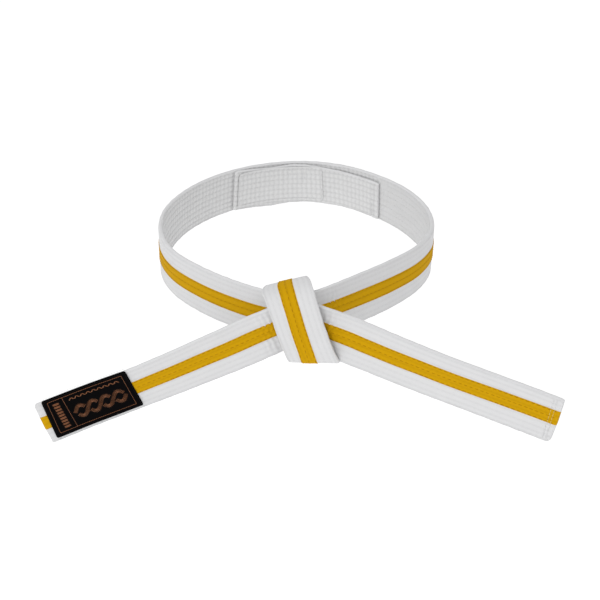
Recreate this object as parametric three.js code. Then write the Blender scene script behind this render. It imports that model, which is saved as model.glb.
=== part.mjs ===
// A tied martial arts belt: one quilted strap, closed in a loop round the waist, knotted at the front,
// with its two ends hanging to the sides. Millimetres, +Z up. The origin is the centre of the waist,
// the knot is towards -Y, and +X is to the right of someone who faces the knot.
import * as THREE from "three";

// ---- Driving dimensions ---------------------------------------------------------------------------
const STRAP_WIDTH = 40;
const STRAP_THICKNESS = 3.7;
const CLOTH = 0.5; // the cover's own thickness
const FIT = 0.35; // air between pieces that touch on the real belt
const PLY = 0.6; // one of the two stiffening plies inside the cover
const PLY_AIR = 0.5; // air on each side of a ply
const SEAM_GAP = 0.6; // the slit where the cover's folded edges meet
const STRIPE_WIDTH = 12.4;
const STRIPE_THICKNESS = 0.5;
const FOLD_ROOM = 1.2; // each side of a fold line that an end swings about is left this much open

const LABEL_WIDTH = 37;
const LABEL_LENGTH = 73;
const LABEL_THICKNESS = 0.8;
const LABEL_FROM_TIP = 4.5;
const LABEL_RAISE = 1.5; // the label sits this much above the middle of the strap
const LABEL_BORDER_INSET = 2.2;
const THREAD = 0.6;

const TIP_STITCH_FROM_END = [5, 7.6]; // the double row of stitches across an end
const TIP_STITCH_LENGTH = 35;

// The second layer inside the back of the loop. Distances along it are from the middle of the back,
// towards the right arm and towards the left arm.
const OVERLAP_WIDTH = 38;
const OVERLAP_DROP = 2; // the inner layer sits this much lower than the strap
const OVERLAP_TO_RIGHT = 72;
const OVERLAP_TO_LEFT = 63;
const PATCH_TO_RIGHT = 13;
const PATCH_WIDTH = 32;
const PATCH_THICKNESS = 1.2;
const PATCH_RAISE = 0.5;

const HALF_WIDTH = STRAP_WIDTH / 2;
const HALF_THICKNESS = STRAP_THICKNESS / 2;

const COLOURS = {
  cloth: { color: 0xd9d9d9, roughness: 0.92, metalness: 0 },
  ply: { color: 0xcfcabf, roughness: 0.95, metalness: 0 },
  stripe: { color: 0xc89a14, roughness: 0.8, metalness: 0 },
  label: { color: 0x1f1d1d, roughness: 0.85, metalness: 0 },
  thread: { color: 0xe4e4e2, roughness: 0.8, metalness: 0 },
  copper: { color: 0xb0703c, roughness: 0.6, metalness: 0 },
};

// ---- The strap's course ---------------------------------------------------------------------------
// A course is a list of stations. Each one holds the middle of the strap and the way from there to its
// upper (or right-hand) edge. Turned angles are in degrees.
const vec = (x, y, z) => new THREE.Vector3(x, y, z);
const radians = THREE.MathUtils.degToRad;

// A station of the loop: the strap stands on edge, and its top leans in towards the waist by lean.
// outward is the compass angle of the strap's outer face, counter-clockwise from +X.
function standing(x, y, outward, lean) {
  const inward = Math.sin(radians(lean));
  const edge = vec(
    -Math.cos(radians(outward)) * inward,
    -Math.sin(radians(outward)) * inward,
    Math.cos(radians(lean)),
  );
  return { middle: vec(x, y, 0), edge: edge.multiplyScalar(HALF_WIDTH) };
}

// A station of the wrap: it lies across the knot, and its right-hand edge is tilted up by tilt.
function across(x, y, z, tilt, yaw, halfWidth) {
  const edge = vec(Math.cos(radians(tilt)), -Math.sin(radians(yaw)), Math.sin(radians(tilt)));
  return { middle: vec(x, y, z), edge: edge.normalize().multiplyScalar(halfWidth) };
}

// A straight strap end: where its middle line passes the knot, the way it runs, and its upper edge.
function straightEnd(origin, along, up) {
  const direction = along.clone().normalize();
  const edge = up.clone().addScaledVector(direction, -up.dot(direction)).normalize();
  return {
    edge,
    direction,
    station: (distance) => ({
      middle: origin.clone().addScaledVector(direction, distance),
      edge: edge.clone().multiplyScalar(HALF_WIDTH),
    }),
  };
}

const LEFT_END = straightEnd(
  vec(-0.5, -135, -1.4),
  vec(-0.927, -0.067, -0.368),
  vec(-0.357, -0.134, 0.924),
);
const RIGHT_END = straightEnd(
  vec(-0.7, -135, -1.6),
  vec(0.91, -0.345, -0.228),
  vec(0.233, -0.028, 0.972),
);
const LEFT_FOLD = 26.4; // distances from the knot's middle, along each end
const RIGHT_FOLD = 43;
const LEFT_TIP = 215.5;
const RIGHT_TIP = 213.5;

// From the left end's fold line, under the wrap to the right arm, round the waist, and back along
// the left arm to where it goes behind the crossing.
const LOOP_COURSE = [
  LEFT_END.station(LEFT_FOLD - FOLD_ROOM),
  LEFT_END.station(16),
  { middle: vec(-4.5, -134.2, -1.9), edge: vec(-4.6, -1.9, 19.4) },
  { middle: vec(8, -128.6, 0), edge: vec(-2, -0.3, 19.9) },
  standing(20, -120.6, -48, 4),
  standing(46.2, -97.5, -46, 7),
  standing(72.9, -70.1, -42, 6),
  standing(94.7, -38.8, -25, 2),
  standing(106.4, -2.6, -5, -1),
  standing(103.6, 35.3, 13, -1),
  standing(88.7, 70.5, 32, 3),
  standing(66.2, 101.3, 48, 8),
  standing(36.6, 125.2, 68, 12),
  standing(0, 135, 90, 13),
  standing(-38.8, 126.3, 112, 12),
  standing(-71.4, 103.4, 134, 9),
  standing(-95.5, 71.6, 150, 5),
  standing(-109.8, 34.3, 168, 1),
  standing(-111.5, -5.5, 186, 0),
  standing(-99.9, -43.7, 207, 1),
  standing(-78, -77.1, 222, 3),
  standing(-49.6, -104.6, 227, 3),
  standing(-20, -126.2, 240, 2),
  standing(-3, -128, 262, 0),
];

// The right end's hidden start, in front of the crossing and under the wrap, out to its fold line.
const RIGHT_ROOT_COURSE = [
  { middle: vec(-6, -140.3, -1), edge: vec(2, 0, 19.9) },
  { middle: vec(7, -140.4, -3.2), edge: vec(4, 0, 19.6) },
  { middle: vec(20, -142.8, -6.8), edge: vec(4.6, -0.4, 19.4) },
  RIGHT_END.station(RIGHT_FOLD - FOLD_ROOM),
];

// The wrap goes down the front of the knot, under it, up behind it and back over the top.
const WRAP_YAW = 9;
const WRAP_COURSE = [
  across(2.2, -113.4, -3, 10, 0, 13),
  across(-3, -113.6, 13, 12, 0, 13),
  across(-8.8, -118.6, 24.2, 14, 0, 14),
  across(-10.2, -130, 27.2, 15.5, 2, 18.8),
  across(-7.9, -141, 24.6, 16, 5, 19.2),
  across(-3.9, -145.7, 14.5, 16, WRAP_YAW, 19.6),
  across(2.2, -146.9, -4.5, 14, WRAP_YAW, 19.6),
  across(7.6, -149.9, -21.6, 7, 12, 19.5),
  across(10.2, -147, -32, 0, 10, 19.5),
  across(11, -132, -34.8, 0, 2, 19.2),
  across(9.4, -118.6, -30.6, 2, 0, 15),
  across(6.4, -113.6, -20, 6, 0, 13),
  across(2.5, -113.4, -3.9, 10, 0, 13),
];

// Straight solids are cut into this many steps before they are bent onto a course.
const LOOP_STEPS = 80;
const WRAP_STEPS = 52;
const ROOT_STEPS = 6;
const TAIL_STEPS = 3;
const LABEL_STEPS = 2;
const OVERLAP_STEPS = 10;
const PATCH_STEPS = 8;

// ---- Laying pieces along a course -----------------------------------------------------------------
class Course {
  constructor(stations) {
    this.last = stations.length - 1;
    this.middles = new THREE.CatmullRomCurve3(stations.map((s) => s.middle), false, "catmullrom", 0.5);
    this.edges = new THREE.CatmullRomCurve3(stations.map((s) => s.edge), false, "catmullrom", 0.5);
    this.length = this.middles.getLength();
  }

  // The point at a distance along the course, up towards its edge and out from its middle.
  point(distance, up, out) {
    const share = THREE.MathUtils.clamp(distance / this.length, 0, 1);
    const t = this.middles.getUtoTmapping(share);
    const along = this.middles.getTangent(t);
    const edge = this.edges.getPoint(t).divideScalar(HALF_WIDTH);
    const outward = along.clone().cross(edge).normalize();
    return this.middles.getPoint(t).addScaledVector(edge, up).addScaledVector(outward, out);
  }
}

// Carries a solid drawn straight (X up towards the edge, Y out, Z along) onto a course.
function carry(geometry, course) {
  const position = geometry.getAttribute("position");
  for (let i = 0; i < position.count; i += 1) {
    const spot = course.point(position.getZ(i), position.getX(i), position.getY(i));
    position.setXYZ(i, spot.x, spot.y, spot.z);
  }
  geometry.computeVertexNormals();
  return geometry;
}

function outline(points) {
  return new THREE.Shape(points.map(([x, y]) => new THREE.Vector2(x, y)));
}

function rectangle(width, thickness, up = 0, out = 0) {
  return outline([
    [up - width / 2, out - thickness / 2],
    [up + width / 2, out - thickness / 2],
    [up + width / 2, out + thickness / 2],
    [up - width / 2, out + thickness / 2],
  ]);
}

// The cover is one cloth folded round the plies. Its edges meet at a slit along the lower edge.
function coverSection(width, thickness) {
  const w = width / 2;
  const t = thickness / 2;
  const slit = SEAM_GAP / 2;
  return outline([
    [-w, slit],
    [-w, t],
    [w, t],
    [w, -t],
    [-w, -t],
    [-w, -slit],
    [-w + CLOTH, -slit],
    [-w + CLOTH, -t + CLOTH],
    [w - CLOTH, -t + CLOTH],
    [w - CLOTH, t - CLOTH],
    [-w + CLOTH, t - CLOTH],
    [-w + CLOTH, slit],
  ]);
}

function straight(section, from, to, steps) {
  const solid = new THREE.ExtrudeGeometry(section, { depth: to - from, steps, bevelEnabled: false });
  return solid.translate(0, 0, from);
}

function laid(section, course, from, to, steps) {
  return carry(straight(section, from, to, steps), course);
}

const belt = new THREE.Group();

function addPiece(name, geometry, finish) {
  const mesh = new THREE.Mesh(geometry, new THREE.MeshStandardMaterial(COLOURS[finish]));
  mesh.name = name;
  belt.add(mesh);
}

// ---- Sub-parts ------------------------------------------------------------------------------------
const PLY_WIDTH = STRAP_WIDTH - 2 * (CLOTH + PLY_AIR);
const PLY_OUT = (PLY + PLY_AIR) / 2;
const STRIPE_OUT = HALF_THICKNESS + PLY_AIR + STRIPE_THICKNESS / 2;

// One stretch of strap: cover, the two plies inside it, and the stripe on its outer face.
function addStrap(where, course, steps) {
  const layers = [
    ["cover_", coverSection(STRAP_WIDTH, STRAP_THICKNESS), "cloth"],
    ["inner_ply_", rectangle(PLY_WIDTH, PLY, 0, -PLY_OUT), "ply"],
    ["outer_ply_", rectangle(PLY_WIDTH, PLY, 0, PLY_OUT), "ply"],
    ["stripe_", rectangle(STRIPE_WIDTH, STRIPE_THICKNESS, 0, STRIPE_OUT), "stripe"],
  ];
  layers.forEach(([layer, section, finish]) => {
    addPiece(layer + where, laid(section, course, 0, course.length, steps), finish);
  });
}

// A double row of stitches across the right end, on its outer face, measured back from the tip.
function addTipStitches(course) {
  const stripeFace = STRIPE_OUT + STRIPE_THICKNESS / 2;
  const thread = rectangle(TIP_STITCH_LENGTH, THREAD, 0, stripeFace + FIT + THREAD / 2);
  TIP_STITCH_FROM_END.forEach((fromEnd, row) => {
    const start = course.length - fromEnd - THREAD / 2;
    addPiece(`tip_stitch_right_${row + 1}`, laid(thread, course, start, start + THREAD, 1), "thread");
  });
}

// The woven label near the left tip, and the thread frame that is sewn round it.
function addLabel(course) {
  const faceOut = STRIPE_OUT + STRIPE_THICKNESS / 2 + FIT;
  const from = LABEL_FROM_TIP;
  const to = from + LABEL_LENGTH;
  const cloth = rectangle(LABEL_WIDTH, LABEL_THICKNESS, LABEL_RAISE, faceOut + LABEL_THICKNESS / 2);
  addPiece("label", laid(cloth, course, from, to, LABEL_STEPS), "label");

  const halfAcross = LABEL_WIDTH / 2 - LABEL_BORDER_INSET;
  const halfAlong = LABEL_LENGTH / 2 - LABEL_BORDER_INSET;
  const frame = rectangle(2 * halfAcross, 2 * halfAlong);
  frame.holes.push(rectangle(2 * (halfAcross - THREAD), 2 * (halfAlong - THREAD)));
  const border = new THREE.ExtrudeGeometry(frame, { depth: THREAD, steps: 1, bevelEnabled: false });
  border.rotateX(Math.PI / 2);
  border.translate(LABEL_RAISE, faceOut + LABEL_THICKNESS + FIT + THREAD, (from + to) / 2);
  addPiece("label_border_thread", carry(border, course), "copper");
}

// Inside the back of the loop a second layer of strap is sewn on, with a patch over part of it.
function addBackLayers(course, middle) {
  const from = middle - OVERLAP_TO_RIGHT;
  const to = middle + OVERLAP_TO_LEFT;
  const layerOut = -(STRAP_THICKNESS + FIT);
  const layerFace = layerOut - HALF_THICKNESS - FIT;
  const hollow = 2 * (CLOTH + PLY_AIR);
  const settled = (section) =>
    carry(straight(section, from, to, OVERLAP_STEPS).translate(-OVERLAP_DROP, layerOut, 0), course);
  addPiece("back_layer_cover", settled(coverSection(OVERLAP_WIDTH, STRAP_THICKNESS)), "cloth");
  addPiece("back_layer_ply", settled(rectangle(OVERLAP_WIDTH - hollow, STRAP_THICKNESS - hollow)), "ply");

  const patch = rectangle(PATCH_WIDTH, PATCH_THICKNESS, PATCH_RAISE, layerFace - PATCH_THICKNESS / 2);
  addPiece("back_patch", laid(patch, course, middle - PATCH_TO_RIGHT, to, PATCH_STEPS), "cloth");

  const thread = rectangle(TIP_STITCH_LENGTH, THREAD, -OVERLAP_DROP, layerFace - THREAD / 2);
  TIP_STITCH_FROM_END.forEach((fromEnd, row) => {
    const start = from + fromEnd;
    addPiece(`back_stitch_${row + 1}`, laid(thread, course, start, start + THREAD, 1), "thread");
  });
}

const loopCourse = new Course(LOOP_COURSE);
const wrapCourse = new Course(WRAP_COURSE);
const rightRootCourse = new Course(RIGHT_ROOT_COURSE);

// The left end's course runs from its tip to its fold line, so that its stripe faces the front.
const leftTailCourse = new Course([
  LEFT_END.station(LEFT_TIP),
  LEFT_END.station(LEFT_FOLD + FOLD_ROOM),
]);
const rightTailCourse = new Course([
  RIGHT_END.station(RIGHT_FOLD + FOLD_ROOM),
  RIGHT_END.station(RIGHT_TIP),
]);

addStrap("loop", loopCourse, LOOP_STEPS);
addStrap("wrap", wrapCourse, WRAP_STEPS);
addStrap("right_root", rightRootCourse, ROOT_STEPS);
addStrap("left_tail", leftTailCourse, TAIL_STEPS);
addStrap("right_tail", rightTailCourse, TAIL_STEPS);
addTipStitches(rightTailCourse);
addLabel(leftTailCourse);
addBackLayers(loopCourse, loopCourse.length / 2);

export default belt;
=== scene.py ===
import math

import bpy
import numpy as np
from mathutils import Matrix, Vector


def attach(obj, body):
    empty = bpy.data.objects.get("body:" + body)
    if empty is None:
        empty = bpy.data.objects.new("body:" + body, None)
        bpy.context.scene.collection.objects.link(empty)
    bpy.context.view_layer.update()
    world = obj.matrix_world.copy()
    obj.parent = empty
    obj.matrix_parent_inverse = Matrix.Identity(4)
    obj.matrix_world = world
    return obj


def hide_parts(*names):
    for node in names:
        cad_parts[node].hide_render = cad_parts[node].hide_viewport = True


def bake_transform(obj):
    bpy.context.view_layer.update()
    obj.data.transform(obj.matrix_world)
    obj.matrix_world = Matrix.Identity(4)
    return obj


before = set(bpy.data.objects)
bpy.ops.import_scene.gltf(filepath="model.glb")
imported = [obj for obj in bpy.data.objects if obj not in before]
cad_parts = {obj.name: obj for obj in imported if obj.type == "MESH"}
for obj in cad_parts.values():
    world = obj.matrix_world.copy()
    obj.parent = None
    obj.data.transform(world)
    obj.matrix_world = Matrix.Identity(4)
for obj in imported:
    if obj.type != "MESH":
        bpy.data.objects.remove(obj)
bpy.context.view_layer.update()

# A tied martial arts belt. Lengths are in millimetres, and turn into metres where a mesh is made.
# The strap's stations follow those of the CAD source within a few millimetres, with the sag and the lean
# of real cloth.
MM = 0.001
HALF_WIDTH = 20.0
HALF_THICKNESS = 1.85
STRIPE_HALF = 6.2
STRIPE_RISE = 0.42

# ---- Camera ------------------------------------------------------------------------------------------
CAMERA_PLACE = (0.00014, -1.8322, 0.8444)
CAMERA_PITCH = math.radians(26)
CAMERA_ROLL = 0.0081
camera_data = bpy.data.cameras.new("camera")
camera_data.sensor_width = 36
camera_data.lens = 147.7
camera_data.clip_start = 0.05
camera_data.clip_end = 60
camera = bpy.data.objects.new("camera", camera_data)
bpy.context.scene.collection.objects.link(camera)
camera.matrix_world = (
    Matrix.Translation(CAMERA_PLACE)
    @ Matrix.Rotation(math.pi / 2 - CAMERA_PITCH, 4, "X")
    @ Matrix.Rotation(-CAMERA_ROLL, 4, "Z")
)
bpy.context.scene.camera = camera
bpy.context.scene.view_settings.view_transform = "Standard"


# ---- The strap's course ------------------------------------------------------------------------------
def unit(v):
    v = np.asarray(v, float)
    return v / np.linalg.norm(v)


def standing(x, y, outward, lean, drop=0.0):
    """A station of the loop, as its middle and its half width as a vector. Its outer face looks outward
    degrees round from +X, and lean tips its upper edge inwards, in degrees."""
    o, a = math.radians(outward), math.radians(lean)
    edge = np.array([-math.cos(o) * math.sin(a), -math.sin(o) * math.sin(a), math.cos(a)])
    return np.array([x, y, -drop]), edge * HALF_WIDTH


def across(x, y, z, tilt, yaw, half_width):
    """A station of the wrap, where the strap's width runs across the knot. tilt raises its right edge and
    yaw turns it to the front, both in degrees."""
    t, w = math.radians(tilt), math.radians(yaw)
    return np.array([x, y, z], float), unit([math.cos(t), -math.sin(w), math.sin(t)]) * half_width


class StrapEnd:
    """A strap end: where its middle line passes the knot, the way it runs, and its upper edge. sag lists
    (distance, drop, twist): how far the strap hangs below that line, and how many degrees its upper edge
    turns towards the front."""

    def __init__(self, origin, along, up, front, sag):
        self.origin = np.array(origin, float)
        self.direction = unit(along)
        up = np.array(up, float)
        self.edge = unit(up - self.direction * (up @ self.direction))
        self.front = np.cross(self.edge, self.direction) * front
        self.sag = np.array(sag, float).T

    def place(self, distance):
        drop = np.interp(distance, self.sag[0], self.sag[1])
        return self.origin + self.direction * distance - np.array([0, 0, drop])

    def station(self, distance):
        twist = math.radians(np.interp(distance, self.sag[0], self.sag[2]))
        edge = self.edge * math.cos(twist) + self.front * math.sin(twist)
        return self.place(distance), edge * HALF_WIDTH


# For each end: distance from the knot, drop in millimetres and twist in degrees.
LEFT_SAG = [
    (20, -0.8, -3), (40, -0.1, -5), (60, 0.8, -3), (75, 1.0, -1), (95, 1.6, 2),
    (115, 1.9, 4), (137, 1.9, 6), (158, 1.35, 4), (180, 0.8, 3.5), (202, 0.9, 2.5),
]
RIGHT_SAG = [
    (30, -0.6, -3), (45, -0.3, -2), (60, 0, 0), (80, 0.7, 1.2),
    (103, 1.05, 2.8), (124, 1.15, 4), (145, 0.85, 3.8), (188, 0.5, 2.7),
]
LEFT_END = StrapEnd((-0.5, -135, -1.4), (-0.927, -0.067, -0.368), (-0.357, -0.134, 0.924), 1, LEFT_SAG)
RIGHT_END = StrapEnd((-0.7, -135, -1.6), (0.91, -0.345, -0.228), (0.233, -0.028, 0.972), -1, RIGHT_SAG)
LEFT_FOLD, RIGHT_FOLD = 26.4, 43.0
LEFT_TIP, RIGHT_TIP = 216.2, 213.5
# The ends aren't cut quite square. This is how far each one's line shifts for a unit of height.
LEFT_SLANT, RIGHT_SLANT = 0.06, 0.07
TAIL_SPACING = 12.0


def bare(middle, edge):
    """A station given by its middle and its half width as a vector."""
    return np.array(middle, float), np.array(edge, float)


def tail_stations(end, first, tip):
    count = int((tip - first) / TAIL_SPACING)
    return [end.station(d) for d in np.linspace(first, tip, count)]


LOOP_STATIONS = [
    LEFT_END.station(25.2), LEFT_END.station(16),
    bare((-4.5, -134.2, -1.9), (-4.6, -1.9, 19.4)), bare((8, -128.6, 0), (-2, -0.3, 19.9)),
    standing(20, -120.6, -48, 4), standing(46.2, -97.5, -46, 7, 0.3), standing(72.9, -70.1, -42, 5, 0.8),
    standing(94.9, -38.8, -25, 0, 2), standing(107, -2.6, -5, -3, 3), standing(104.8, 35.6, 13, -4, 2.2),
    standing(90, 71.4, 32, -4, 1), standing(66.8, 102.2, 48, -1, 0.8), standing(36.6, 125.8, 68, 6),
    standing(0, 135.6, 90, 9), standing(-38.8, 126.8, 112, 8), standing(-71.6, 103.8, 134, 5),
    standing(-96, 71.8, 150, 2, 0.2), standing(-110.4, 34.3, 168, -2, 1.2),
    standing(-112.3, -5.5, 186, -1, 2.4), standing(-100.8, -43.9, 207, -1, 2),
    standing(-78, -77.1, 222, 1, 1.5), standing(-49.6, -104.6, 227, 2, 1.5),
    standing(-20, -126.2, 240, 2, 0.6), standing(-3, -128, 262, 0),
]
LEFT_STRAND = tail_stations(LEFT_END, 40, LEFT_TIP)[::-1] + LOOP_STATIONS
RIGHT_STRAND = [
    bare((-6, -140.3, -1), (2, 0, 19.9)), bare((7, -140.4, -3.2), (4, 0, 19.6)),
    bare((20, -142.8, -6.8), (4.6, -0.4, 19.4)), RIGHT_END.station(41.8),
] + tail_stations(RIGHT_END, 56, RIGHT_TIP)
WRAP_YAW = 9
WRAP_STATIONS = [
    across(-2.5, -113.4, 2, 11, 0, 14.5), across(-5, -113.6, 12, 12, 0, 14.5),
    across(-9.6, -118.6, 23.4, 14, 0, 16.2), across(-10.4, -130, 26.3, 15.5, 2, 19.4),
    across(-8.2, -141, 23.8, 16, 5, 19.6), across(-4.7, -145.7, 14, 15.5, WRAP_YAW, 19.6),
    across(0.9, -146.9, -5, 14, WRAP_YAW, 19.6), across(6.7, -149.6, -20.5, 8, 12, 20),
    across(10.3, -147, -29.6, 4, 10, 20.3), across(11, -132, -32.2, 3, 2, 19.6),
    across(9.4, -118.6, -28.6, 3, 0, 15.5), across(6.4, -113.6, -18, 6, 0, 14.5),
    across(1.5, -113.2, -8, 9, 0, 14.5),
]


class Course:
    """Uniform Catmull-Rom curves through the strap's middles and edges, read by distance."""

    FINE = 60  # points on each curve

    def __init__(self, stations, closed=False):
        middles = np.array([m for m, e in stations])
        edges = np.array([e for m, e in stations]) / HALF_WIDTH
        self.middle = self.curve(middles, closed)
        self.edge = self.curve(edges, closed)
        steps = np.linalg.norm(np.diff(self.middle, axis=0), axis=1)
        self.distance = np.concatenate([[0], np.cumsum(steps)])
        self.length = self.distance[-1]
        tangent = np.gradient(self.middle, self.distance, axis=0)
        if closed:
            tangent[0] = tangent[-1] = (tangent[0] + tangent[-1]) / 2
        self.tangent = tangent / np.linalg.norm(tangent, axis=1)[:, None]

    def curve(self, p, closed):
        if closed:
            p = np.vstack([p[-1], p, p[0], p[1]])
        else:
            p = np.vstack([2 * p[0] - p[1], p, 2 * p[-1] - p[-2]])
        pieces = []
        w = np.arange(self.FINE)[:, None] / self.FINE
        for a, b, c, d in zip(p, p[1:], p[2:], p[3:]):
            s, e = (c - a) / 2, (d - b) / 2
            pieces.append(b + s * w + (3 * (c - b) - 2 * s - e) * w**2 + (2 * (b - c) + s + e) * w**3)
        pieces.append(p[-2][None])
        return np.vstack(pieces)

    def frames(self, s):
        """The middle, edge and outward vectors at the distances s."""
        def read(column):
            return np.stack([np.interp(s, self.distance, column[:, k]) for k in range(3)], -1)

        middle, edge, tangent = read(self.middle), read(self.edge), read(self.tangent)
        outward = np.cross(tangent, edge)
        return middle, edge, outward / np.linalg.norm(outward, axis=-1, keepdims=True)

    def nearest(self, point):
        return self.distance[np.argmin(np.linalg.norm(self.middle - np.array(point), axis=1))]

    def at(self, s, u, v):
        """Points at distance s, up u and out v, for arrays of one shape."""
        middle, edge, outward = self.frames(np.asarray(s, float).ravel())
        shape = np.shape(s)
        u, v = np.asarray(u, float).reshape(-1, 1), np.asarray(v, float).reshape(-1, 1)
        return (middle + edge * u + outward * v).reshape(*shape, 3)


left_strand = Course(LEFT_STRAND)
right_strand = Course(RIGHT_STRAND)
wrap_course = Course(WRAP_STATIONS, closed=True)
HIDDEN_CUT = left_strand.nearest((3.5, -131, -1))  # under the wrap, where the left end's piece stops

# ---- Relief of the quilted cloth ---------------------------------------------------------------------
ROWS = np.array([-18.0, -14.3, -9.7, -4.9, 0.0, 4.9, 9.7, 14.3, 18.0])
PITCH = 4.4  # one stitch and its needle hole
VALLEY_WIDTH = 0.75
random = np.random.default_rng(7)
WAVES = [
    (random.uniform(20, 70), random.uniform(25, 80), random.uniform(0, 6.3), random.uniform(0, 6.3))
    for _ in range(6)
]


def waviness(s, u):
    """Slow unevenness of the cloth, from about -1 to 1."""
    total = np.zeros(np.broadcast(s, u).shape)
    for along, over, p, q in WAVES:
        total = total + np.sin(2 * np.pi * s / along + p) * np.cos(2 * np.pi * u / over + q)
    return total / 3


def valley(u):
    """1 on a row of stitches, falling to 0 on both sides of it."""
    total = np.zeros(np.shape(u))
    for row in ROWS:
        total = total + np.exp(-(((u - row) / VALLEY_WIDTH) ** 2))
    return np.minimum(total, 1)


def needle(s, u):
    """1 at a needle hole and 0 halfway to the next, at distance s along the row at height u."""
    return 0.5 + 0.5 * np.cos(2 * np.pi * (s + 0.35 * np.sin(u * 0.9)) / PITCH)


def relief(s, u, depth, pucker, slow=0.15):
    """How far the cloth's face stands out at distance s and height u: it dips along the rows of stitches,
    most at the needle holes, and puckers between them."""
    hole = needle(s, u)
    pull = valley(u)
    between = 1 - 0.55 * pull
    return (
        slow * waviness(s, u)
        - depth * pull * (0.65 + 0.35 * hole)
        - pucker * between * (hole - 0.5)
    )


# ---- Meshes ------------------------------------------------------------------------------------------
def make_object(name, points, faces, materials, face_slots=None, uv=None, crease_shade=None):
    mesh = bpy.data.meshes.new(name)
    mesh.from_pydata((np.asarray(points) * MM).tolist(), [], [list(map(int, f)) for f in faces])
    for material in materials:
        mesh.materials.append(material)
    if face_slots is not None:
        mesh.polygons.foreach_set("material_index", np.asarray(face_slots, np.int32))
    mesh.polygons.foreach_set("use_smooth", np.ones(len(mesh.polygons), bool))
    if uv is not None:
        corner = np.zeros(len(mesh.loops), np.int32)
        mesh.loops.foreach_get("vertex_index", corner)
        layer = mesh.uv_layers.new(name="cloth")
        layer.data.foreach_set("uv", np.asarray(uv, np.float32)[corner].ravel())
    # The point attribute below is painted shade for the cloth's creases; the materials darken their colour
    # with it.
    if crease_shade is not None:
        attribute = mesh.attributes.new("crease_shade", "FLOAT", "POINT")
        attribute.data.foreach_set("value", np.asarray(crease_shade, np.float32).ravel())
    mesh.update()
    thing = bpy.data.objects.new(name, mesh)
    bpy.context.scene.collection.objects.link(thing)
    return thing


RIM = 1.5  # how far in from the edge the rounded rim begins
RIM_CELLS = 8
CROWN = 0.22  # how much thinner the strap is at its edges
SEAM_DEPTH, SEAM_WIDTH = 0.45, 0.25
END_CELLS = 9
THINNEST = 0.02
SLANT_FADE = 30.0


def section(half_width, half_thickness, cells, rim=RIM, seam=False):
    """A strap's section, once round: outer face upwards, upper rim, inner face downwards, lower rim.
    Columns are u, v, the outward direction's u and v, and a side: 1 on the outer face, -1 on the inner
    one and 0 on the rims."""
    flat = np.linspace(-(half_width - rim), half_width - rim, cells + 1)
    thin = half_thickness - CROWN * (np.abs(flat) / half_width) ** 6
    rows = [(u, v, 0, 1, 1) for u, v in zip(flat, thin)]
    turn = np.linspace(90, -90, RIM_CELLS + 1)[1:-1]
    for a in np.radians(turn):
        c, z = math.cos(a), math.sin(a)
        rows.append((flat[-1] + rim * c, thin[-1] * z, c, z, 0))
    rows += [(u, -v, 0, -1, -1) for u, v in zip(flat[::-1], thin[::-1])]
    for a in np.radians(turn):
        c, z = math.cos(a), math.sin(a)
        notch = SEAM_DEPTH * math.exp(-((a / SEAM_WIDTH) ** 2)) if seam else 0
        rows.append((flat[0] - (rim - notch) * c, -thin[0] * z, -c, -z, 0))
    return np.array(rows)


def distances(start, stop, step, round_start=0.0, round_stop=0.0):
    """Distances from start to stop, closer together in a rounded end."""
    count = max(2, int(round((stop - start) / step)) + 1)
    inner = np.linspace(start + round_start, stop - round_stop, count)
    arc = 1 - np.cos(np.linspace(0, np.pi / 2, END_CELLS)[:-1])
    parts = [inner]
    if round_start:
        parts.insert(0, start + round_start * arc)
    if round_stop:
        parts.append((stop - round_stop * arc)[::-1])
    return np.concatenate(parts)


def corner_shrink(s, start, stop, round_start, round_stop):
    """How much narrower the strap is at s than away from its rounded ends."""
    lost = np.zeros_like(s)
    for r, gap in ((round_start, s - start), (round_stop, stop - s)):
        if r:
            inside = np.clip(r - gap, 0, r)
            lost += r - np.sqrt(np.maximum(r * r - inside * inside, 0))
    return lost


def end_flatten(s, start, stop, rounded, thick):
    """The share of its thickness that a band keeps at s, where its rounded ends thin out."""
    gap = np.full_like(s, np.inf)
    if rounded[0]:
        gap = np.minimum(gap, s - start)
    if rounded[1]:
        gap = np.minimum(gap, stop - s)
    rim_in = np.clip(1 - gap / thick, 0, 1)
    return np.sqrt(np.maximum(1 - rim_in**2, THINNEST))


def slanted(s, u, start, stop, slant):
    """Distances shifted so that a band's two ends run off square."""
    fade = [np.clip(1 - gap / SLANT_FADE, 0, 1) for gap in (s - start, stop - s)]
    return s + (slant[0] * fade[0] + slant[1] * fade[1]) * u


def band_faces(rows, shape, closed):
    """The faces between the sections of a band, and 1 for each that is on the inner face and 0 elsewhere."""
    columns = len(shape)
    index = np.arange(rows * columns).reshape(rows, columns)
    nxt = np.roll(index, -1, axis=1)
    if closed:
        after, after_next = np.roll(index, -1, axis=0), np.roll(nxt, -1, axis=0)
    else:
        index, after, nxt, after_next = index[:-1], index[1:], nxt[:-1], nxt[1:]
    faces = np.stack([index, after, after_next, nxt], -1).reshape(-1, 4).tolist()
    inside = np.tile(shape[:, 4] < 0, len(index)).astype(int).tolist()
    if closed:
        return faces, inside
    outer_ids = np.where(shape[:, 4] > 0)[0]
    inner_ids = np.where(shape[:, 4] < 0)[0][::-1]
    rim_up = np.arange(outer_ids[-1], inner_ids[-1] + 1)
    rim_down = np.concatenate([np.arange(inner_ids[0], columns), [0]])
    for base, flip in ((0, False), ((rows - 1) * columns, True)):
        caps = [
            [base + a, base + b, base + d, base + c]
            for a, b, c, d in zip(outer_ids, outer_ids[1:], inner_ids, inner_ids[1:])
        ]
        caps.append([base + k for k in rim_up])
        caps.append([base + k for k in rim_down])
        if flip:
            caps = [c[::-1] for c in caps]
        faces += caps
        inside += [0] * len(caps)
    return faces, inside


# Painted shade: where its stitches barely draw the lining in, its colour is darkened evenly, standing for
# the shade inside the loop.
EVEN_LINING_SHADE = 0.6  # the shade of a lining that isn't drawn in


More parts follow.
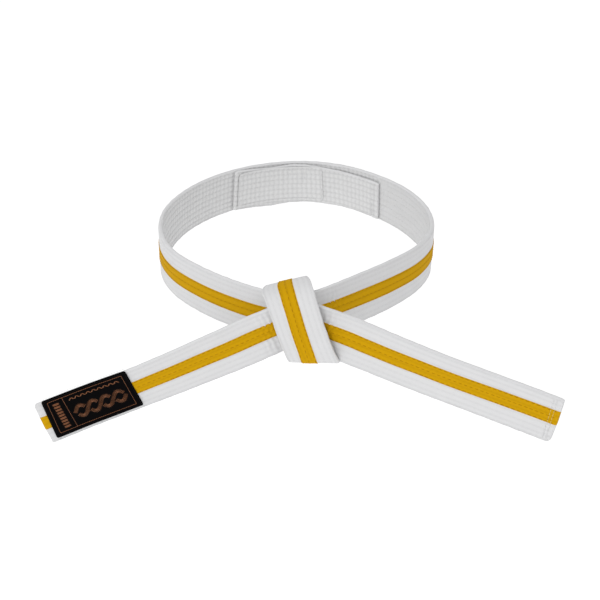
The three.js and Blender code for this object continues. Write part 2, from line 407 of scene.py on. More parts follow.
def painted_crease_shade(s, u, side, strength):
    """Painted shade: how dark the cloth's creases are, along the rows and at the inner face's needle holes.
    """
    crease_shade = np.where(side != 0, valley(u) * (0.6 + 0.4 * needle(s, u)), 0)
    crease_shade = np.maximum(crease_shade, np.where(side < 0, 0.6 * needle(s, u) ** 2, 0))
    if strength is None:
        return crease_shade
    drawn = strength(s)
    return np.where(side < 0, crease_shade * drawn + EVEN_LINING_SHADE * (1 - drawn), crease_shade)


def lay_band(name, course, s, shape, materials, outer=None, inner=None, lift=0.0, raise_by=0.0, cup=None,
             rounded=(0.0, 0.0), closed=False, rim_wave=0.12, centre=None, slant=(0.0, 0.0),
             share=None, strength=None):
    """Lays a band with the given section along a course, at the distances s.
    outer and inner give each face's relief, and strength how strongly the inner one is drawn in, which sets
    its painted crease shade.
    lift moves the band outwards and raise_by upwards. cup bends it back, centre moves its middle up before
    its relief is read, and share narrows it. rounded and slant shape its two ends."""
    half = shape[:, 0].max()
    u, v, nu, nv, side = (np.tile(shape[:, k], (len(s), 1)) for k in range(5))
    ss = np.repeat(s[:, None], len(shape), 1)
    lost = corner_shrink(ss, s[0], s[-1], *rounded)
    flatten = end_flatten(ss, s[0], s[-1], rounded, shape[:, 1].max())
    u = u * (half - lost) / half
    if share is not None:
        u = u * share(ss)
    if callable(raise_by):
        raise_by = raise_by(ss)
    if callable(lift):
        lift = lift(ss)
    if centre is not None:
        u = u + centre(ss)
    v = v * flatten
    fade = np.clip((half - RIM + 0.6 - np.abs(shape[:, 0])) / RIM, 0, 1)[None, :] * flatten
    push = np.zeros_like(u)
    if outer is not None:
        push = np.where(side > 0, outer(ss, u) * fade, push)
    if inner is not None:
        push = np.where(side < 0, inner(ss, u) * fade, push)
    push = push + np.where(side == 0, rim_wave * waviness(ss * 3.1, u) * flatten, 0)
    uu, vv = u + nu * push, v + nv * push
    if cup is not None:
        vv = vv - cup(ss, uu)
    points = course.at(slanted(ss, uu, s[0], s[-1], slant), uu + raise_by, vv + lift)
    faces, inside = band_faces(len(s), shape, closed)
    around = np.concatenate([[0], np.cumsum(np.hypot(*np.diff(shape[:, :2], axis=0).T))])
    uv = np.stack([np.tile(around, (len(s), 1)), ss], -1).reshape(-1, 2)
    slots = inside if len(materials) > 1 else None
    # Painted shade for the creases, kept on the points for the cloth's colour.
    crease_shade = painted_crease_shade(ss, u, side, strength)
    return make_object(name, points.reshape(-1, 3), faces, materials, slots, uv, crease_shade)


# A stitch: the places of its sections along it, and their thickness there.
STITCH_PLACES = np.array([0, 0.18, 0.5, 0.82, 1.0])
STITCH_THICKNESS = np.array([0.0, 0.85, 1.0, 0.85, 0.0])
STITCH_SINK = 0.12
THREAD_SIDES = 4


def stitch_faces():
    """The faces of one stitch, a spindle with three rings."""
    last = 1 + 3 * THREAD_SIDES
    faces = []
    for j in range(THREAD_SIDES):
        n = (j + 1) % THREAD_SIDES
        faces.append((0, 1 + n, 1 + j))
        for ring in range(2):
            low, high = 1 + ring * THREAD_SIDES, 1 + (ring + 1) * THREAD_SIDES
            faces.append((low + j, low + n, high + n, high + j))
        faces.append((1 + 2 * THREAD_SIDES + j, 1 + 2 * THREAD_SIDES + n, last))
    return faces


def threads(name, course, stitches, height, material, radius=0.24, arch=0.22):
    """Sewn stitches as one mesh. Each stitch is (s, u) to (s, u) on a face, and height(s, u) is where
    the face is. A stitch comes up out of its needle hole, arches and goes down into the next."""
    a = np.array([start for start, stop in stitches], float)
    b = np.array([stop for start, stop in stitches], float)
    lift = arch * np.sin(np.pi * STITCH_PLACES) ** 0.7 - STITCH_SINK
    along = a[:, None, :] + (b - a)[:, None, :] * STITCH_PLACES[None, :, None]
    s, u = along[..., 0], along[..., 1]
    face = height(s, u)
    ground = face + lift[None, :] * np.sign(face)
    sideways = np.stack([-(b - a)[:, 1], (b - a)[:, 0]], -1)
    sideways = sideways / np.linalg.norm(sideways, axis=1, keepdims=True)
    angles = 2 * np.pi * np.arange(THREAD_SIDES) / THREAD_SIDES
    rings = []
    for k, thick in enumerate(radius * STITCH_THICKNESS):
        if thick == 0:
            rings.append(course.at(s[:, k], u[:, k], ground[:, k])[:, None, :])
            continue
        ring_s = s[:, k, None] + sideways[:, 0, None] * np.cos(angles) * thick
        ring_u = u[:, k, None] + sideways[:, 1, None] * np.cos(angles) * thick
        ring_v = ground[:, k, None] + np.sin(angles) * thick
        rings.append(course.at(ring_s, ring_u, ring_v))
    block = np.concatenate(rings, axis=1)
    points_each = block.shape[1]
    one = stitch_faces()
    bases = range(0, len(stitches) * points_each, points_each)
    faces = [[base + k for k in f] for base in bases for f in one]
    uv = np.repeat(np.stack([u.mean(1), s.mean(1)], -1), points_each, axis=0)
    uv = uv + np.tile(np.linspace(0, 1, points_each), len(stitches))[:, None]
    return make_object(name, block.reshape(-1, 3), faces, [material], None, uv)


# ---- Materials ---------------------------------------------------------------------------------------
class Nodes:
    """Short names for building a node tree."""

    def __init__(self, name):
        self.material = bpy.data.materials.new(name)
        self.material.use_nodes = True
        self.tree = self.material.node_tree
        self.shader = self.tree.nodes["Principled BSDF"]

    def add(self, kind, **settings):
        node = self.tree.nodes.new(kind)
        for key, value in settings.items():
            setattr(node, key, value)
        return node

    def link(self, a, b):
        self.tree.links.new(a, b)

    def math(self, operation, a, b=None):
        node = self.add("ShaderNodeMath", operation=operation)
        for socket, value in zip(node.inputs, (a, b)):
            if value is None:
                continue
            if isinstance(value, (int, float)):
                socket.default_value = value
            else:
                self.link(value, socket)
        return node.outputs[0]

    def cloth_coordinates(self):
        uv = self.add("ShaderNodeUVMap", uv_map="cloth")
        split = self.add("ShaderNodeSeparateXYZ")
        self.link(uv.outputs[0], split.inputs[0])
        return uv.outputs[0], split.outputs[0], split.outputs[1]

    def wave(self, value, pitch):
        """A wave from 0 to 1 that repeats every pitch."""
        turned = self.math("SINE", self.math("MULTIPLY", value, 2 * math.pi / pitch))
        return self.math("ADD", self.math("MULTIPLY", turned, 0.5), 0.5)

    def noise(self, vector, scale, detail):
        node = self.add("ShaderNodeTexNoise")
        node.inputs["Scale"].default_value = scale
        node.inputs["Detail"].default_value = detail
        node.inputs["Roughness"].default_value = 0.6
        self.link(vector, node.inputs["Vector"])
        return node.outputs[0]

    def mix(self, factor, a, b):
        node = self.add("ShaderNodeMix", data_type="RGBA")
        for socket, value in ((node.inputs["Factor"], factor), (node.inputs["A"], a), (node.inputs["B"], b)):
            if isinstance(value, tuple):
                socket.default_value = (*value, 1)
            else:
                self.link(value, socket)
        return node.outputs["Result"]

    def bump(self, height, distance):
        node = self.add("ShaderNodeBump")
        node.inputs["Strength"].default_value = 1.0
        node.inputs["Distance"].default_value = distance
        self.link(height, node.inputs["Height"])
        return node.outputs[0]


FUZZ_SCALE, PATCH_SCALE, MOTTLE = 2.2, 0.06, 0.35
PLY_PITCH, PLY_DEPTH = 0.35, 0.06


def woven(name, light, dark, warp, weft, depth, roughness, sheen=0.0, crease_shade_strength=0.0, specular=0.3):
    """Woven cloth: crossing threads warp and weft millimetres apart, fibres, mottling, and painted shade
    that darkens the creases.
    """
    n = Nodes(name)
    vector, u, s = n.cloth_coordinates()
    over = n.wave(u, warp)
    along = n.wave(s, weft)
    weave = n.math("MULTIPLY", over, along)
    other = n.math("MULTIPLY", n.math("SUBTRACT", 1.0, over), n.math("SUBTRACT", 1.0, along))
    weave = n.math("ADD", weave, other)
    fibres = n.noise(vector, FUZZ_SCALE, 4.0)
    patches = n.noise(vector, PATCH_SCALE, 2.0)
    height = n.math("ADD", weave, n.math("MULTIPLY", fibres, 0.8))
    tone = n.math("ADD", n.math("MULTIPLY", weave, 1 - MOTTLE), n.math("MULTIPLY", patches, MOTTLE))
    colour = n.mix(tone, dark, light)
    # Painted shade: the crease attribute blends the colour towards the dark tone, darkened further by
    # crease_shade_strength.
    if crease_shade_strength:
        crease_shade = n.add("ShaderNodeAttribute", attribute_name="crease_shade").outputs["Fac"]
        shade = tuple(c * (1 - crease_shade_strength) for c in dark)
        colour = n.mix(n.math("MULTIPLY", crease_shade, 0.5), colour, shade)
    n.link(colour, n.shader.inputs["Base Color"])
    rough = n.math("ADD", n.math("MULTIPLY", fibres, 0.12), roughness - 0.06)
    n.link(rough, n.shader.inputs["Roughness"])
    n.link(n.bump(height, depth * MM), n.shader.inputs["Normal"])
    n.shader.inputs["Sheen Weight"].default_value = sheen
    n.shader.inputs["Specular IOR Level"].default_value = specular
    return n.material


def spun(name, light, dark, roughness=0.6, sheen=0.1, specular=0.4):
    """Sewing or embroidery thread, with its plies wound round each other."""
    n = Nodes(name)
    vector, u, s = n.cloth_coordinates()
    twist = n.wave(n.math("ADD", u, s), PLY_PITCH)
    patches = n.noise(vector, 0.4, 2.0)
    tone = n.math("ADD", n.math("MULTIPLY", twist, 0.6), n.math("MULTIPLY", patches, 0.4))
    n.link(n.mix(tone, dark, light), n.shader.inputs["Base Color"])
    n.link(n.bump(twist, PLY_DEPTH * MM), n.shader.inputs["Normal"])
    n.link(n.math("ADD", n.math("MULTIPLY", patches, 0.2), roughness - 0.1), n.shader.inputs["Roughness"])
    n.shader.inputs["Sheen Weight"].default_value = sheen
    n.shader.inputs["Specular IOR Level"].default_value = specular
    return n.material


# crease_shade_strength below sets how much painted shade each cloth's creases get.
cotton = woven(
    "white_cotton", (0.785, 0.785, 0.79), (0.66, 0.66, 0.67), warp=0.7, weft=0.7, depth=0.1, roughness=0.92,
    sheen=0.06, crease_shade_strength=0.07,
)
# The lining's light tone is set below the cotton's and its creases are darkened strongly: painted shade for
# the inside of the loop.
lining = woven(
    "white_lining_painted_shade", (0.75, 0.75, 0.75), (0.66, 0.66, 0.665), warp=0.8, weft=0.8, depth=0.09, roughness=0.95,
    sheen=0.03, crease_shade_strength=0.34,
)
tape = woven(
    "yellow_tape", (0.66, 0.37, 0.002), (0.57, 0.305, 0.001), warp=0.5, weft=1.0, depth=0.08, roughness=0.85,
    crease_shade_strength=0.2, specular=0.08,
)
black_cloth = woven(
    "label_cloth", (0.0036, 0.0031, 0.0033), (0.002, 0.002, 0.0024), warp=0.4, weft=0.4, depth=0.04,
    roughness=0.8, specular=0.02,
)
white_thread = spun("white_thread", (0.80, 0.80, 0.80), (0.68, 0.68, 0.69))
pale_thread = spun("pale_thread", (0.80, 0.60, 0.16), (0.68, 0.48, 0.10), 0.7, sheen=0.0, specular=0.1)
yellow_thread = spun("yellow_thread", (0.48, 0.24, 0.004), (0.37, 0.18, 0.003), 0.7, sheen=0.0,
                     specular=0.05)
black_thread = spun("black_thread", (0.010, 0.009, 0.009), (0.006, 0.006, 0.006), 0.7, sheen=0.0,
                    specular=0.1)
copper_thread = spun("copper_thread", (0.31, 0.122, 0.05), (0.17, 0.062, 0.024), 0.5, sheen=0.05,
                     specular=0.25)

# ---- Strap pieces ------------------------------------------------------------------------------------
STEP = 1.1
STRIPE_HALF_THICKNESS = 0.3
strap_shape = section(HALF_WIDTH, HALF_THICKNESS, 50, seam=True)
stripe_shape = section(STRIPE_HALF, STRIPE_HALF_THICKNESS, 16, rim=0.35)
STRIPE_LIFT = HALF_THICKNESS + STRIPE_RISE - STRIPE_HALF_THICKNESS
LEFT_TIP_RADIUS, RIGHT_TIP_RADIUS = 3.2, 4.2
STRIPE_CORNER = 0.5
STITCHES_FROM_TIP = 2.0
STRIPE_EDGE_ROW = STRIPE_HALF - 0.9


def near(s, place, reach):
    return np.exp(-(((s - place) / reach) ** 2))


def middle_row(s, u, holes):
    """The dip along the middle row, which goes through the stripe as well."""
    return np.exp(-((u / 0.6) ** 2)) * (0.06 + holes * needle(s, u))


def outer_relief(extra):
    """The smooth outer face. Its middle row dips, and it puckers where extra says."""
    def face(s, u):
        more = extra(s)
        return relief(s, u, 0.05 + 0.1 * more, 0.01 + 0.8 * more, 0.14) - middle_row(s, u, 0.10)
    return face


def inner_relief(strength):
    """The lining, which the stitches draw in as strongly as strength says."""
    def face(s, u):
        k = strength(s)
        return relief(s, u, 0.40 * k + 0.05, 0.34 * k, 0.16)
    return face


def rows_of_stitches(start, stop, rows, gap=0.9):
    """Running stitches along the strap, from needle hole to needle hole."""
    first = math.ceil(start / PITCH)
    last = math.floor(stop / PITCH)
    made = []
    for row in rows:
        for k in range(first, last):
            made.append(((k * PITCH + gap / 2, row), ((k + 1) * PITCH - gap / 2, row)))
    return made


def flat_cup(s, u):
    return 0.0 * u


def level(height):
    """A face at one height everywhere."""
    return lambda s, u: np.full(np.shape(s), height)


def add_strap(where, course, s, outer, inner, stripe_centre, rounded=(0.0, 0.0), cup=flat_cup, closed=False,
              slant=(0.0, 0.0), strength=None):
    """The cover with the plies in it, the stripe, and the quilting threads on both faces. stripe_centre
    gives the height of the stripe's middle at a distance, because the stripe wanders a little."""
    body = lay_band("strap_" + where, course, s, strap_shape, [cotton, lining], outer, inner,
                    rounded=rounded, cup=cup, closed=closed, slant=slant, strength=strength)

    def stripe_lift(d):
        return STRIPE_LIFT * end_flatten(d, s[0], s[-1], rounded, HALF_THICKNESS)

    stripe = lay_band("stripe_" + where, course, s, stripe_shape, [tape], outer, None, lift=stripe_lift,
                      rounded=tuple(min(r, STRIPE_CORNER) for r in rounded), cup=cup, closed=closed,
                      rim_wave=0.03,
                      centre=stripe_centre, slant=slant)
    margin = [STITCHES_FROM_TIP if r else 0.0 for r in rounded]
    start, stop = s[0] + margin[0], s[-1] - margin[1]
    on_white = [r for r in ROWS if abs(r) > STRIPE_HALF + 3]
    quilting = threads("quilting_" + where, course, rows_of_stitches(start, stop, on_white),
                       lambda d, u: HALF_THICKNESS + outer(d, u) - cup(d, u), white_thread, 0.11, 0.12)
    edges = [
        ((a[0], a[1] + stripe_centre(a[0])), (b[0], b[1] + stripe_centre(b[0])))
        for a, b in rows_of_stitches(start, stop, (-STRIPE_EDGE_ROW, 0.0, STRIPE_EDGE_ROW))
    ]
    stripe_rows = threads("stripe_stitching_" + where, course, edges,
                          lambda d, u: HALF_THICKNESS + STRIPE_RISE + outer(d, u) - cup(d, u),
                          yellow_thread, 0.23, 0.16)
    lining_rows = threads("lining_stitching_" + where, course, rows_of_stitches(start, stop, ROWS),
                          lambda d, u: -HALF_THICKNESS - inner(d, u) - cup(d, u), white_thread, 0.2)
    return body, stripe, quilting, stripe_rows, lining_rows


def follow(pieces, slots, body):
    """The pieces move with one body."""
    for piece, slot in zip(pieces, slots):
        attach(piece, body)


BEND_BEFORE, BEND_AFTER = 4, 16


def bend(pieces, slots, end, fold):
    """Bakes each piece's placing into its mesh. The bend's start and stop beside the fold are worked out,
    but nothing uses them, so the pieces don't bend.
    """
    for piece, slot in zip(pieces, slots):
        start = Vector((end.place(fold - BEND_BEFORE) * MM).tolist())
        stop = Vector((end.place(fold + BEND_AFTER) * MM).tolist())
        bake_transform(piece)


STRAP_SLOTS = ("white_cotton", "yellow_stripe", "white_thread", "white_thread", "white_thread")


def strap_nodes(where):
    return ["cover_" + where, "inner_ply_" + where, "outer_ply_" + where]


# Where the strap's parts come out from under the wrap, and so pucker most.
LEFT_MOUTH = left_strand.nearest(LEFT_END.place(24))
RIGHT_MOUTH = right_strand.nearest(RIGHT_END.place(24))
ARM_MOUTH = left_strand.nearest((24, -117, 0))
BACK_MIDDLE = left_strand.nearest((0, 135, 0))

# The second layer inside the back, along the strap.
layer_from, layer_to = BACK_MIDDLE - 82, BACK_MIDDLE + 62.5


def evenly(s):
    return 1.0


def lining_strength(s):
    """The lining is drawn in least on the right arm, up to the end of the second layer."""
    return 0.12 + 0.88 / (1 + np.exp(-(s - layer_from) / 6))


def table(pairs):
    """A function that reads a height between the (distance, height) pairs given."""
    distance, height = np.array(pairs, float).T
    return lambda s: np.interp(s, distance, height)


# The stripe's wandering up the strap. On the left it is listed by distance from the knot, as on the right.
LEFT_STRIPE = [(0, 2.2), (50, 1.7), (75, 1.9), (125, 2.1), (190, 1.4), (216, 1.2)]
RIGHT_STRIPE = [(0, 2.0), (34, 1.7), (55, 1.3), (75, 1.45), (100, 1.9), (134, 2.05), (167, 2.6), (211, 3.1)]
LOOP_STRIPE = [(0, 1.2), (45, 0.7), (90, 0.1), (150, -0.5), (190, -1.2), (250, 0), (600, 0)]


def end_stripe(strand, end, pairs):
    """The stripe's wandering along an end, from its distances along the end's own line."""
    return table(sorted((strand.nearest(end.place(d)), h) for d, h in pairs))


def loop_stripe(s):
    return table(LOOP_STRIPE)(s - HIDDEN_CUT)


# The loop, from under the wrap round the waist to behind the crossing.
loop_parts = add_strap(
    "loop", left_strand, distances(HIDDEN_CUT, left_strand.length, STEP),
    outer_relief(lambda s: near(s, ARM_MOUTH, 7)), inner_relief(lining_strength), loop_stripe,
    strength=lining_strength,
)
follow(loop_parts, STRAP_SLOTS, "tied_loop")
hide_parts(*strap_nodes("loop"))
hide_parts("stripe_loop")

# The left end, from its tip to under the wrap.
left_parts = add_strap(
    "left_end", left_strand, distances(0, HIDDEN_CUT, STEP, LEFT_TIP_RADIUS),
    outer_relief(lambda s: near(s, LEFT_MOUTH, 8)), inner_relief(evenly),
    end_stripe(left_strand, LEFT_END, LEFT_STRIPE), rounded=(LEFT_TIP_RADIUS, 0.0), slant=(LEFT_SLANT, 0.0),
)
bend(left_parts, STRAP_SLOTS, LEFT_END, LEFT_FOLD)
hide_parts(*strap_nodes("left_tail"))
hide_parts("stripe_left_tail")

# The right end, from under the wrap to its tip.
right_parts = add_strap(
    "right_end", right_strand, distances(0, right_strand.length, STEP, 0, RIGHT_TIP_RADIUS),
    outer_relief(lambda s: near(s, RIGHT_MOUTH, 7)), inner_relief(evenly),
    end_stripe(right_strand, RIGHT_END, RIGHT_STRIPE), rounded=(0.0, RIGHT_TIP_RADIUS),
    slant=(0.0, RIGHT_SLANT),
)
bend(right_parts, STRAP_SLOTS, RIGHT_END, RIGHT_FOLD)
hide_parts(*strap_nodes("right_tail"), *strap_nodes("right_root"))
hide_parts("stripe_right_tail", "stripe_right_root")

# The wrap: one turn round the crossing. Its edges bend back towards the knot.
WRAP_STEP = 0.88
WRAP_COUNT = int(wrap_course.length / WRAP_STEP)
wrap_s = np.arange(WRAP_COUNT) * wrap_course.length / WRAP_COUNT

wrap_top = wrap_course.nearest((-10.4, -130, 26.3))
wrap_upper = wrap_course.nearest((-4.7, -145.7, 14))
wrap_front = wrap_course.nearest((0.9, -146.9, -5))
wrap_lower = wrap_course.nearest((6.7, -149.6, -20.5))
wrap_foot = wrap_course.nearest((10.3, -147, -29.6))
WRAP_STRIPE = [
    (0, 0.0), (wrap_top, -0.5), (wrap_upper, -0.8), (wrap_front, -1.3),
    (wrap_lower, -1.9), (wrap_foot, -3.0), (wrap_course.length, 0.0),
]


def wrap_cup(s, u):
    """How far the wrap's sides bend back towards the knot: the left one more than the right."""
    return np.where(u < 0, 1.2, -0.9) * near(s, wrap_front, 26) * (u / HALF_WIDTH) ** 2


def wrap_outer(s, u):
    return relief(s, u, 0.02, 0.01, 0.0) - middle_row(s, u, 0.12)


def wrap_inner(s, u):
    return relief(s, u, 0.3, 0.15, 0.0)


wrap_parts = add_strap(
    "wrap", wrap_course, wrap_s, wrap_outer, wrap_inner, table(WRAP_STRIPE),
    cup=wrap_cup, closed=True,
)
follow(wrap_parts, STRAP_SLOTS, "tied_loop")
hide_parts(*strap_nodes("wrap"))
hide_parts("stripe_wrap")

# ---- Back layer and patch ----------------------------------------------------------------------------
LAYER_HALF, LAYER_HALF_THICKNESS = 19.3, 1.35
LAYER_OUT = -(HALF_THICKNESS + LAYER_HALF_THICKNESS + 0.12)
LAYER_FACE = LAYER_OUT - LAYER_HALF_THICKNESS
LAYER_ROW_SHARE = 0.97
# Both by distance from the second layer's left end.
LAYER_HEIGHTS = [
    (0, 0.5), (5, 0.5), (21, -1.0), (37, -2.2), (54, -0.5), (70, -0.3), (87, -1.6), (115, -2.2), (145, -2.2),
]
LAYER_NARROWING = [(0, 0), (60, 0), (85, 1.2), (115, 2.3), (145, 2.7)]  # lost at each of its two edges


def layer_raise(s):
    """How far the second layer's middle lies above the strap's."""
    return table(LAYER_HEIGHTS)(layer_to - s)


def layer_share(s):
    """The second layer's width at s as a share of its full width."""
    return 1 - table(LAYER_NARROWING)(layer_to - s) / LAYER_HALF


def on_layer(stitches):
    """Stitches for a strap of full width, moved to where the second layer is."""
    def placed(s, u):
        return s, u * LAYER_ROW_SHARE * layer_share(s) + layer_raise(s)

    return [(placed(*a), placed(*b)) for a, b in stitches]


def layer_push(s, u):
    return relief(s, u, 0.42, 0.34, 0.2)


layer = lay_band("back_layer", left_strand, distances(layer_from, layer_to, STEP, 1.2, 1.2),
                 section(LAYER_HALF, LAYER_HALF_THICKNESS, 46, rim=1.3), [cotton, lining], None, layer_push,
                 lift=LAYER_OUT, raise_by=layer_raise, rounded=(1.2, 3.0), share=layer_share)
layer_rows = threads("back_layer_quilting", left_strand,
                     on_layer(rows_of_stitches(layer_from + 10, layer_to - 3, ROWS)),
                     lambda s, u: LAYER_FACE - layer_push(s, (u - layer_raise(s)) / layer_share(s)),
                     white_thread, 0.2)


def cross_row(s, low, high, pitch=2.6, gap=0.5):
    """Stitches across the strap at one distance, from a low edge to a high one."""
    count = int((high - low) / pitch)
    pitch = (high - low) / count
    return [((s, low + k * pitch + gap / 2), (s, low + (k + 1) * pitch - gap / 2)) for k in range(count)]


layer_end_rows = [
    threads("back_layer_end_row_%d" % (k + 1), left_strand,
            on_layer(cross_row(layer_from + d, 2 - LAYER_HALF, LAYER_HALF - 2)),
            level(LAYER_FACE), white_thread, 0.3)
    for k, d in enumerate((5.3, 7.9))
]

PATCH_HALF, PATCH_HALF_THICKNESS, PATCH_RAISE, PATCH_CORNER = 16.8, 0.6, 0.6, 4.0
PATCH_OUT = LAYER_FACE - 0.55
PATCH_FACE = PATCH_OUT - PATCH_HALF_THICKNESS
patch_from, patch_to = BACK_MIDDLE - 22.6, layer_to - 3.6
CREASE_AT = BACK_MIDDLE - 5.3


def patch_push(s, u):
    """The patch's relief: a smoother band along it, and a fold down from its upper edge."""
    step = near(s, CREASE_AT, 1.0) * np.clip((u - 1) / 4, 0, 1)
    return relief(s, u, 0.34, 0.30, 0.2) * (1 - 0.6 * near(u, 3.5, 4.5)) - 0.9 * step


patch = lay_band("back_patch_cloth", left_strand,
                 distances(patch_from, patch_to, 0.9, PATCH_CORNER, PATCH_CORNER),
                 section(PATCH_HALF, PATCH_HALF_THICKNESS, 40, rim=0.7), [lining, lining], None, patch_push,
                 lift=PATCH_OUT, raise_by=PATCH_RAISE, rounded=(PATCH_CORNER, PATCH_CORNER))
patch_edge = (
    cross_row(patch_from + 2, -PATCH_HALF + 3, PATCH_HALF - 3)
    + cross_row(patch_to - 2, -PATCH_HALF + 3, PATCH_HALF - 3)
    + rows_of_stitches(patch_from + 2, patch_to - 2, (-PATCH_HALF + 2, PATCH_HALF - 2))
    + rows_of_stitches(patch_from + 4, patch_to - 4, (-9.7, -4.9, 0, 4.9, 9.7))
)
patch_threads = threads("back_patch_stitching", left_strand,
                        [((a[0], a[1] + PATCH_RAISE), (b[0], b[1] + PATCH_RAISE)) for a, b in patch_edge],
                        lambda s, u: PATCH_FACE - patch_push(s, u - PATCH_RAISE), white_thread, 0.22)
back_parts = (layer, layer_rows, *layer_end_rows, patch, patch_threads)
follow(back_parts, ("white_cotton", "white_thread", "white_thread", "white_thread", "white_cotton",
                    "white_thread"), "tied_loop")
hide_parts("back_layer_cover", "back_layer_ply")
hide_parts("back_stitch_1")
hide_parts("back_stitch_2")
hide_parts("back_patch")

# ---- Label and tip stitches --------------------------------------------------------------------------
LABEL_HALF, LABEL_RAISE = 18.7, 2.6
LABEL_FROM, LABEL_TO = 6.4, 78.2
LABEL_SLANT, LABEL_CORNER, LABEL_HALF_THICKNESS = 0.08, 1.6, 0.4
LABEL_OUT = HALF_THICKNESS + STRIPE_RISE + 0.45
LABEL_FACE = LABEL_OUT + LABEL_HALF_THICKNESS


def label_push(s, u):
    return 0.10 * waviness(s * 1.5, u)


def label_fold(s, u):
    """The label's upper edge turns a little over the strap's rim."""
    return 1.1 * np.clip((u + LABEL_RAISE - 18.5) / 3, 0, 1) ** 2


label = lay_band("woven_label", left_strand,
                 distances(LABEL_FROM, LABEL_TO, 1.0, LABEL_CORNER, LABEL_CORNER),
                 section(LABEL_HALF, LABEL_HALF_THICKNESS, 30, rim=0.4), [black_cloth], label_push, None,
                 lift=LABEL_OUT, raise_by=LABEL_RAISE, rounded=(LABEL_CORNER, LABEL_CORNER), rim_wave=0.0,
                 cup=label_fold, slant=(LABEL_SLANT, 0.0))


def label_height(s, u):
    return LABEL_FACE + label_push(s, u - LABEL_RAISE)


def line(a, b, pitch, gap=0.0):
    """Stitches end to end from point a to point b, each an (s, u) pair."""
    a, b = np.array(a, float), np.array(b, float)
    count = max(1, int(round(np.linalg.norm(b - a) / pitch)))
    step = (b - a) / count
    trim = step / np.linalg.norm(step) * gap / 2
    return [(tuple(a + step * k + trim), tuple(a + step * (k + 1) - trim)) for k in range(count)]


def outline(s0, s1, u0, u1, pitch, gap=0.0):
    """Stitches round a rectangle whose side near the tip runs with the label's slanted end."""
    shift = [LABEL_SLANT * (u - LABEL_RAISE) for u in (u0, u1)]
    corners = [(s0 + shift[0], u0), (s1, u0), (s1, u1), (s0 + shift[1], u1)]
    return sum((line(a, b, pitch, gap) for a, b in zip(corners, corners[1:] + corners[:1])), [])


BORDER = (10.6, 73.6, -12.2, 18.6)
PARTITION = 24.0
border = outline(*BORDER, 1.5) + line((PARTITION, BORDER[2]), (PARTITION, BORDER[3]), 1.5)
border_piece = threads("label_border", left_strand, border, label_height, copper_thread, 0.27, 0.12)
EDGE_MARGIN = 1.1
edge_stitches = outline(LABEL_FROM + EDGE_MARGIN, LABEL_TO - EDGE_MARGIN,
                        LABEL_RAISE - LABEL_HALF + EDGE_MARGIN, LABEL_RAISE + LABEL_HALF - EDGE_MARGIN,
                        2.2, 0.4)
edge_piece = threads("label_edge_stitching", left_strand, edge_stitches, label_height, black_thread,
                     0.2, 0.15)

# A braid of two strands in satin stitch, for the main field.
BRAID_FROM, BRAID_TO, BRAID_MIDDLE = 28.0, 70.4, 0.6
BRAID_SWING, BRAID_WAVE, STRAND_HALF = 5.4, 21.2, 2.2
SATIN_PITCH = 0.62
CROSSING = 0.42  # how near to a crossing a strand goes under the other


def braid(sign):
    """One strand's satin stitches. sign is 1 for the strand that rises first and -1 for the other."""
    made = []
    for s in np.arange(BRAID_FROM, BRAID_TO, SATIN_PITCH):
        turn = 2 * np.pi * (s - BRAID_FROM) / BRAID_WAVE
        middle = BRAID_MIDDLE + sign * BRAID_SWING * math.sin(turn)
        slope = sign * BRAID_SWING * math.cos(turn) * 2 * math.pi / BRAID_WAVE
        way = unit([-slope, 1.0])
        if sign * math.cos(turn) < 0 and abs(math.sin(turn)) < CROSSING:
            continue
        a = (s - way[0] * STRAND_HALF, middle - way[1] * STRAND_HALF)
        b = (s + way[0] * STRAND_HALF, middle + way[1] * STRAND_HALF)
        made.append((a, b))
    return made


motif = threads("label_braid", left_strand, braid(1) + braid(-1), label_height, copper_thread, 0.2, 0.16)

# A column of satin bars beside the braid, and a zigzag over it.
BAR_FROM, BAR_TO, BAR_HALF, BAR_COUNT = 14.0, 20.6, 0.7, 9
ZIGZAG_LOW, ZIGZAG_HIGH, ZIGZAG_POINTS = 13.2, 15.8, 19
marks = []
for u in np.linspace(-8.5, 14.5, BAR_COUNT):
    for k in np.linspace(-BAR_HALF, BAR_HALF, 4):
        marks.append(((BAR_FROM, u + k), (BAR_TO, u + k)))
zigzag = [
    (s, ZIGZAG_HIGH if n % 2 else ZIGZAG_LOW)
    for n, s in enumerate(np.linspace(BRAID_FROM, BRAID_TO - 0.4, ZIGZAG_POINTS))
]
for a, b in zip(zigzag, zigzag[1:]):
    for k in (-0.25, 0.25):
        marks.append(((a[0] + k, a[1]), (b[0] + k, b[1])))
marks_piece = threads("label_marks", left_strand, marks, label_height, copper_thread, 0.24, 0.16)
label_reverse = threads("label_reverse_stitching", left_strand, edge_stitches, level(-HALF_THICKNESS - 0.05),
                        white_thread, 0.2, 0.15)
label_parts = (label, border_piece, edge_piece, motif, marks_piece, label_reverse)
follow(label_parts, ("label_weave", "copper_thread", "label_weave", "copper_thread", "copper_thread",
                     "white_thread"), "left_end")
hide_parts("label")
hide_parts("label_border_thread")

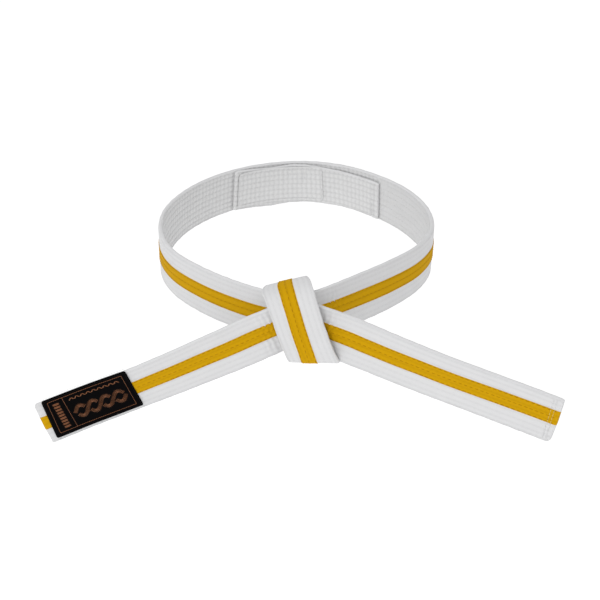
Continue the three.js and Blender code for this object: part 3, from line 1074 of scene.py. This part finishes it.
# A double row of stitches across the right tip.
TIP_STRIPE = RIGHT_STRIPE[-1][1]
TIP_ROWS = (5.0, 7.6)
TIP_ROW_HALF = 17.5
for k, from_end in enumerate(TIP_ROWS):
    place = right_strand.length - from_end
    low, high = TIP_STRIPE - STRIPE_HALF, TIP_STRIPE + STRIPE_HALF
    row = threads("tip_row_%d" % (k + 1), right_strand,
                  cross_row(place, -TIP_ROW_HALF, low) + cross_row(place, high, TIP_ROW_HALF),
                  level(HALF_THICKNESS + 0.05), white_thread, 0.28)
    stripe_row = threads("tip_stripe_row_%d" % (k + 1), right_strand, cross_row(place, low, high, 2.6, 0.2),
                         level(HALF_THICKNESS + STRIPE_RISE + 0.1), pale_thread, 0.36)
    back_row = threads("tip_reverse_row_%d" % (k + 1), right_strand,
                       cross_row(place, -TIP_ROW_HALF, TIP_ROW_HALF),
                       level(-HALF_THICKNESS - 0.05), white_thread, 0.28)
    follow((row, stripe_row, back_row), ("white_thread",) * 3, "right_end")
    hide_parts("tip_stitch_right_%d" % (k + 1))

# ---- Stage and light ---------------------------------------------------------------------------------
FLOOR_HEIGHT = -950.0
FLOOR_HALF = 14000.0
corners = [(x * FLOOR_HALF, y * FLOOR_HALF, FLOOR_HEIGHT) for x, y in ((-1, -1), (1, -1), (1, 1), (-1, 1))]
floor = make_object("floor", corners, [(0, 1, 2, 3)], [])
floor_nodes = Nodes("pale_floor")
floor_nodes.shader.inputs["Base Color"].default_value = (0.93, 0.93, 0.93, 1)
floor_nodes.shader.inputs["Roughness"].default_value = 0.9
floor_nodes.shader.inputs["Emission Color"].default_value = (1, 1, 1, 1)
floor_nodes.shader.inputs["Emission Strength"].default_value = 0.34
floor.data.materials.append(floor_nodes.material)

world = bpy.data.worlds.new("studio")
bpy.context.scene.world = world
world.use_nodes = True
world.node_tree.nodes["Background"].inputs[0].default_value = (1, 1, 1, 1)
world.node_tree.nodes["Background"].inputs[1].default_value = 0.735


def soft_light(name, place, size, watts):
    data = bpy.data.lights.new(name, "AREA")
    data.shape = "SQUARE"
    data.size = size
    data.energy = watts
    lamp = bpy.data.objects.new(name, data)
    lamp.location = place
    lamp.rotation_mode = "QUATERNION"
    lamp.rotation_quaternion = (Vector((0, 0, 0)) - Vector(place)).to_track_quat("-Z", "Y")
    bpy.context.scene.collection.objects.link(lamp)


soft_light("key", (-1.25, -1.85, 2.2), 1.2, 25.5)
